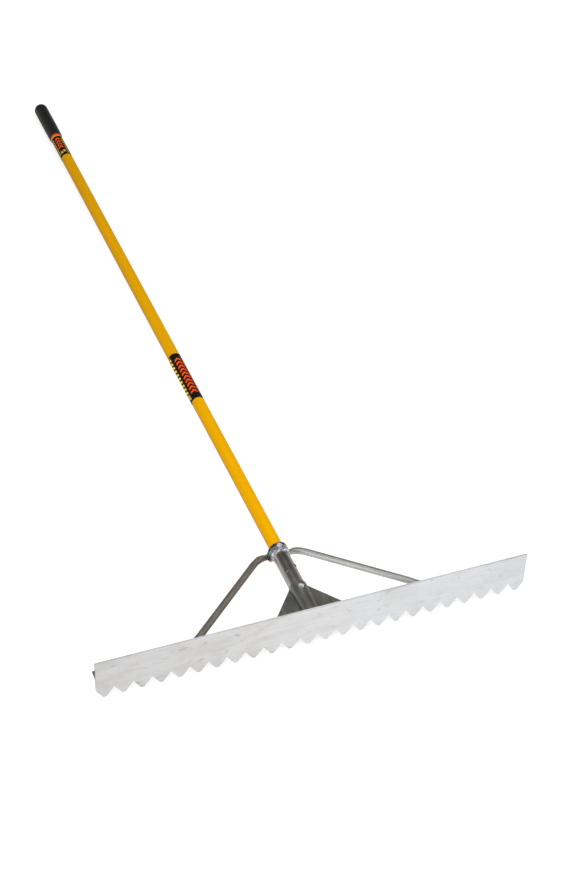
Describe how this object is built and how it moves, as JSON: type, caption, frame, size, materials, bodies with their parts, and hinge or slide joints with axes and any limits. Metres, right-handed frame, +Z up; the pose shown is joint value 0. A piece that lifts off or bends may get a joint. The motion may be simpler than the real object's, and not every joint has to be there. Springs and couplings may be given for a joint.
{
  "type": "asphalt rake",
  "caption": "Asphalt rake: a wide toothed blade with a straight back edge, a pressed bracket, bent tube braces and a long tubular handle with a domed grip.",
  "frame": {"origin": "centre of the rake seen from above, on the ground that it lies on", "axes": "+X along the blade, to the right as seen from in front of the blade; +Y from the blade towards the grip; +Z up from the ground, with the teeth down"},
  "size_m": [0.9096, 2.0972, 0.0953],
  "materials": {
    "blade": "mill finish, satin",
    "bracket": "pressed sheet, satin",
    "ferrule": "drawn tube, bright satin",
    "brace": "drawn tube, satin",
    "collar": "bright zinc plated",
    "fastener": "bright zinc plated",
    "rivet": "satin",
    "handle": "smooth pultruded fibreglass, yellow",
    "core": "plain dowel",
    "grip": "matt black",
    "label": "gloss vinyl, black with yellow check rows and orange bars"
  },
  "bodies": {
    "root": {"blade": "blade", "upper_bracket": "bracket", "lower_bracket": "bracket", "ferrule": "ferrule", "left_brace": "brace", "right_brace": "brace", "rear_collar": "collar", "front_collar": "collar", "saddle_bolt": "fastener", "saddle_washer": "fastener", "saddle_nut": "fastener", "clamp_bolt": "fastener", "clamp_washer": "fastener", "clamp_nut": "fastener", "ear_bolts": "fastener", "ear_washers": "fastener", "ear_nuts": "fastener", "bracket_bolts": "fastener", "bracket_washers": "fastener", "bracket_nuts": "fastener", "brace_foot_bolts": "fastener", "brace_foot_washers": "fastener", "brace_foot_nuts": "fastener", "ferrule_rivets": "rivet", "handle_tube": "handle", "handle_core": "core", "grip": "grip", "upper_label": "label", "middle_label": "label"}
  },
  "joints": []
}
